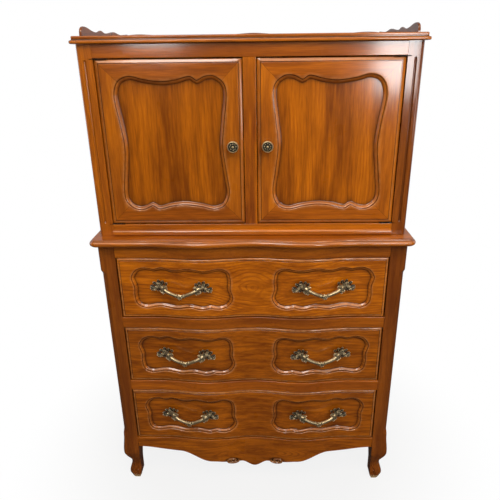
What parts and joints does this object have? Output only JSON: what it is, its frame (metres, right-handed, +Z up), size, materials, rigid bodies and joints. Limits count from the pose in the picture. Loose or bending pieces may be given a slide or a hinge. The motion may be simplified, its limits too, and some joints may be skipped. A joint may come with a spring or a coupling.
{
  "type": "highboy chest of drawers",
  "caption": "Tall wooden highboy: a chest of serpentine drawers with carved fields and cast pulls on curved feet, carrying a cabinet with a pair of carved doors and a low gallery.",
  "frame": {"origin": "on the floor under the middle of the whole piece's box", "axes": "+Z up, -Y towards the front where the doors and drawers open, +X to the right seen from the front"},
  "size_m": [0.894, 0.508, 1.4071],
  "materials": {
    "cherry": "glossy lacquered cherry, orange brown",
    "cherry_posts": "glossy lacquered cherry, darker red brown",
    "cherry_panels": "glossy lacquered cherry with upright banded grain",
    "cherry_drawers": "glossy lacquered cherry with level flame grain",
    "secondary_wood": "plain unlacquered wood inside the case",
    "antique_brass": "antiqued cast brass",
    "dark_hinge": "dark bronzed steel"
  },
  "bodies": {
    "carcass": {"front_leg_left": "cherry_posts", "front_leg_right": "cherry_posts", "rear_leg_left": "cherry_posts", "rear_leg_right": "cherry_posts", "lower_side_left": "cherry", "lower_side_right": "cherry", "lower_back": "secondary_wood", "waist_top": "cherry", "lower_top_rail": "cherry", "upper_drawer_rail": "cherry", "lower_drawer_rail": "cherry", "apron": "cherry", "upper_dust_board": "secondary_wood", "middle_dust_board": "secondary_wood", "lower_dust_board": "secondary_wood", "upper_post_left": "cherry_posts", "upper_post_right": "cherry_posts", "upper_side_left": "cherry", "upper_side_right": "cherry", "upper_back": "secondary_wood", "upper_top_rail": "cherry", "upper_bottom_rail": "cherry", "centre_stile": "cherry", "cabinet_floor": "secondary_wood", "shelf": "secondary_wood", "top_board": "cherry", "gallery_back": "cherry", "gallery_left": "cherry", "gallery_right": "cherry", "left_upper_hinge": "dark_hinge", "left_lower_hinge": "dark_hinge", "right_upper_hinge": "dark_hinge", "right_lower_hinge": "dark_hinge"},
    "left_door": {"left_door_frame": "cherry", "left_door_panel": "cherry_panels", "left_door_knob": "antique_brass"},
    "right_door": {"right_door_frame": "cherry", "right_door_panel": "cherry_panels", "right_door_knob": "antique_brass"},
    "upper_drawer": {"upper_drawer_front": "cherry_drawers", "upper_drawer_left_side": "secondary_wood", "upper_drawer_right_side": "secondary_wood", "upper_drawer_back": "secondary_wood", "upper_drawer_bottom": "secondary_wood", "upper_drawer_left_pull": "antique_brass", "upper_drawer_right_pull": "antique_brass"},
    "middle_drawer": {"middle_drawer_front": "cherry_drawers", "middle_drawer_left_side": "secondary_wood", "middle_drawer_right_side": "secondary_wood", "middle_drawer_back": "secondary_wood", "middle_drawer_bottom": "secondary_wood", "middle_drawer_left_pull": "antique_brass", "middle_drawer_right_pull": "antique_brass"},
    "lower_drawer": {"lower_drawer_front": "cherry_drawers", "lower_drawer_left_side": "secondary_wood", "lower_drawer_right_side": "secondary_wood", "lower_drawer_back": "secondary_wood", "lower_drawer_bottom": "secondary_wood", "lower_drawer_left_pull": "antique_brass", "lower_drawer_right_pull": "antique_brass"}
  },
  "joints": [
    {"name": "left_door_hinge", "type": "hinge", "parent": "carcass", "child": "left_door", "pos_m": [-0.3775, -0.1905, 1.1195], "axis": [0, 0, -1], "range_deg": [0, 100]},
    {"name": "right_door_hinge", "type": "hinge", "parent": "carcass", "child": "right_door", "pos_m": [0.3775, -0.1905, 1.1195], "axis": [0, 0, 1], "range_deg": [0, 100]},
    {"name": "upper_drawer_slide", "type": "slide", "parent": "carcass", "child": "upper_drawer", "axis": [0, -1, 0], "range_m": [0, 0.33]},
    {"name": "middle_drawer_slide", "type": "slide", "parent": "carcass", "child": "middle_drawer", "axis": [0, -1, 0], "range_m": [0, 0.33]},
    {"name": "lower_drawer_slide", "type": "slide", "parent": "carcass", "child": "lower_drawer", "axis": [0, -1, 0], "range_m": [0, 0.33]}
  ]
}
